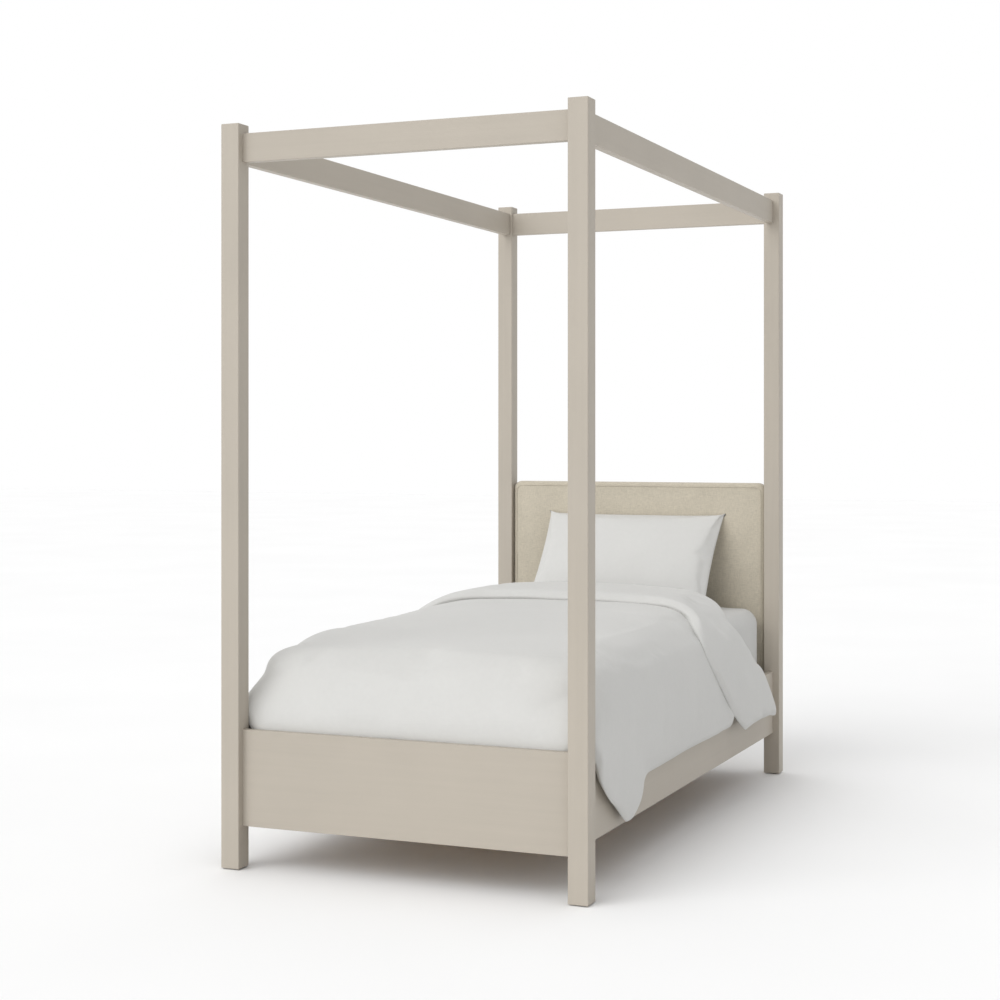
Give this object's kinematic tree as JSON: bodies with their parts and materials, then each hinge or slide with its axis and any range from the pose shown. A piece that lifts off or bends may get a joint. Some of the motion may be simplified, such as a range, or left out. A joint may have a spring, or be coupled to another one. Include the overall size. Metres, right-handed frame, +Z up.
{
  "type": "four poster canopy bed",
  "caption": "Single four poster bed with plain square posts, an open rail canopy, an upholstered headboard, and a mattress with sheet, duvet and pillow.",
  "frame": {"origin": "centre of the footprint on the floor: halfway across, halfway from foot to head", "axes": "+Z up; +X to the right as seen from the foot; -Y is the foot end and +Y the head end"},
  "size_m": [1.125, 2.084, 2.11],
  "materials": {
    "painted_wood": "satin paint over solid wood",
    "pine": "planed, unfinished",
    "beech_dowel": "planed, unfinished",
    "plywood": "raw plywood",
    "zinc_steel": "zinc plated",
    "glide_plastic": "matte",
    "foam": "matte",
    "linen": "woven linen",
    "lining": "matte lining cloth",
    "mattress_ticking": "quilted knit",
    "cotton_sheet": "matte cotton",
    "duvet_cotton": "matte cotton",
    "pillow_cotton": "matte cotton"
  },
  "bodies": {
    "frame": {"foot_post_left": "painted_wood", "foot_post_right": "painted_wood", "head_post_left": "painted_wood", "head_post_right": "painted_wood", "canopy_rail_foot": "painted_wood", "canopy_rail_head": "painted_wood", "canopy_rail_left": "painted_wood", "canopy_rail_right": "painted_wood", "footboard_panel": "painted_wood", "side_rail_left": "painted_wood", "side_rail_right": "painted_wood", "head_cross_rail": "painted_wood", "ledger_left": "pine", "ledger_right": "pine", "centre_beam": "pine", "support_leg_foot": "pine", "support_leg_head": "pine", "slat_01": "pine", "slat_02": "pine", "slat_03": "pine", "slat_04": "pine", "slat_05": "pine", "slat_06": "pine", "slat_07": "pine", "slat_08": "pine", "slat_09": "pine", "slat_10": "pine", "slat_11": "pine", "slat_12": "pine", "slat_13": "pine", "slat_14": "pine", "canopy_dowels": "beech_dowel", "lower_dowels": "beech_dowel", "headboard_dowels": "beech_dowel", "leg_dowels": "beech_dowel", "canopy_hanger_bolts": "zinc_steel", "canopy_washers": "zinc_steel", "canopy_nuts": "zinc_steel", "lower_hanger_bolts": "zinc_steel", "lower_washers": "zinc_steel", "lower_nuts": "zinc_steel", "rail_hook_brackets": "zinc_steel", "post_hook_plates": "zinc_steel", "hook_plate_screws": "zinc_steel", "beam_brackets": "zinc_steel", "beam_bracket_screws": "zinc_steel", "ledger_screws": "zinc_steel", "slat_screws": "zinc_steel", "leg_inserts": "zinc_steel", "post_glides": "glide_plastic", "headboard_core": "plywood", "headboard_foam": "foam", "headboard_cover": "linen", "headboard_back_cover": "lining"},
    "mattress": {"mattress": "mattress_ticking", "fitted_sheet": "cotton_sheet"},
    "duvet": {"duvet": "duvet_cotton"},
    "pillow": {"pillow": "pillow_cotton"},
    "leveller_foot": {"leveller_foot": "zinc_steel"},
    "leveller_head": {"leveller_head": "zinc_steel"}
  },
  "joints": [
    {"name": "mattress_lift", "type": "slide", "parent": "frame", "child": "mattress", "axis": [0, 0, 1], "range_m": [0, 0.4]},
    {"name": "duvet_lift", "type": "slide", "parent": "mattress", "child": "duvet", "axis": [0, 0, 1], "range_m": [0, 0.5]},
    {"name": "pillow_lift", "type": "slide", "parent": "mattress", "child": "pillow", "axis": [0, 0, 1], "range_m": [0, 0.5]},
    {"name": "leveller_foot_slide", "type": "slide", "parent": "frame", "child": "leveller_foot", "axis": [0, 0, -1], "range_m": [0, 0.012]},
    {"name": "leveller_head_slide", "type": "slide", "parent": "frame", "child": "leveller_head", "axis": [0, 0, -1], "range_m": [0, 0.012]}
  ]
}
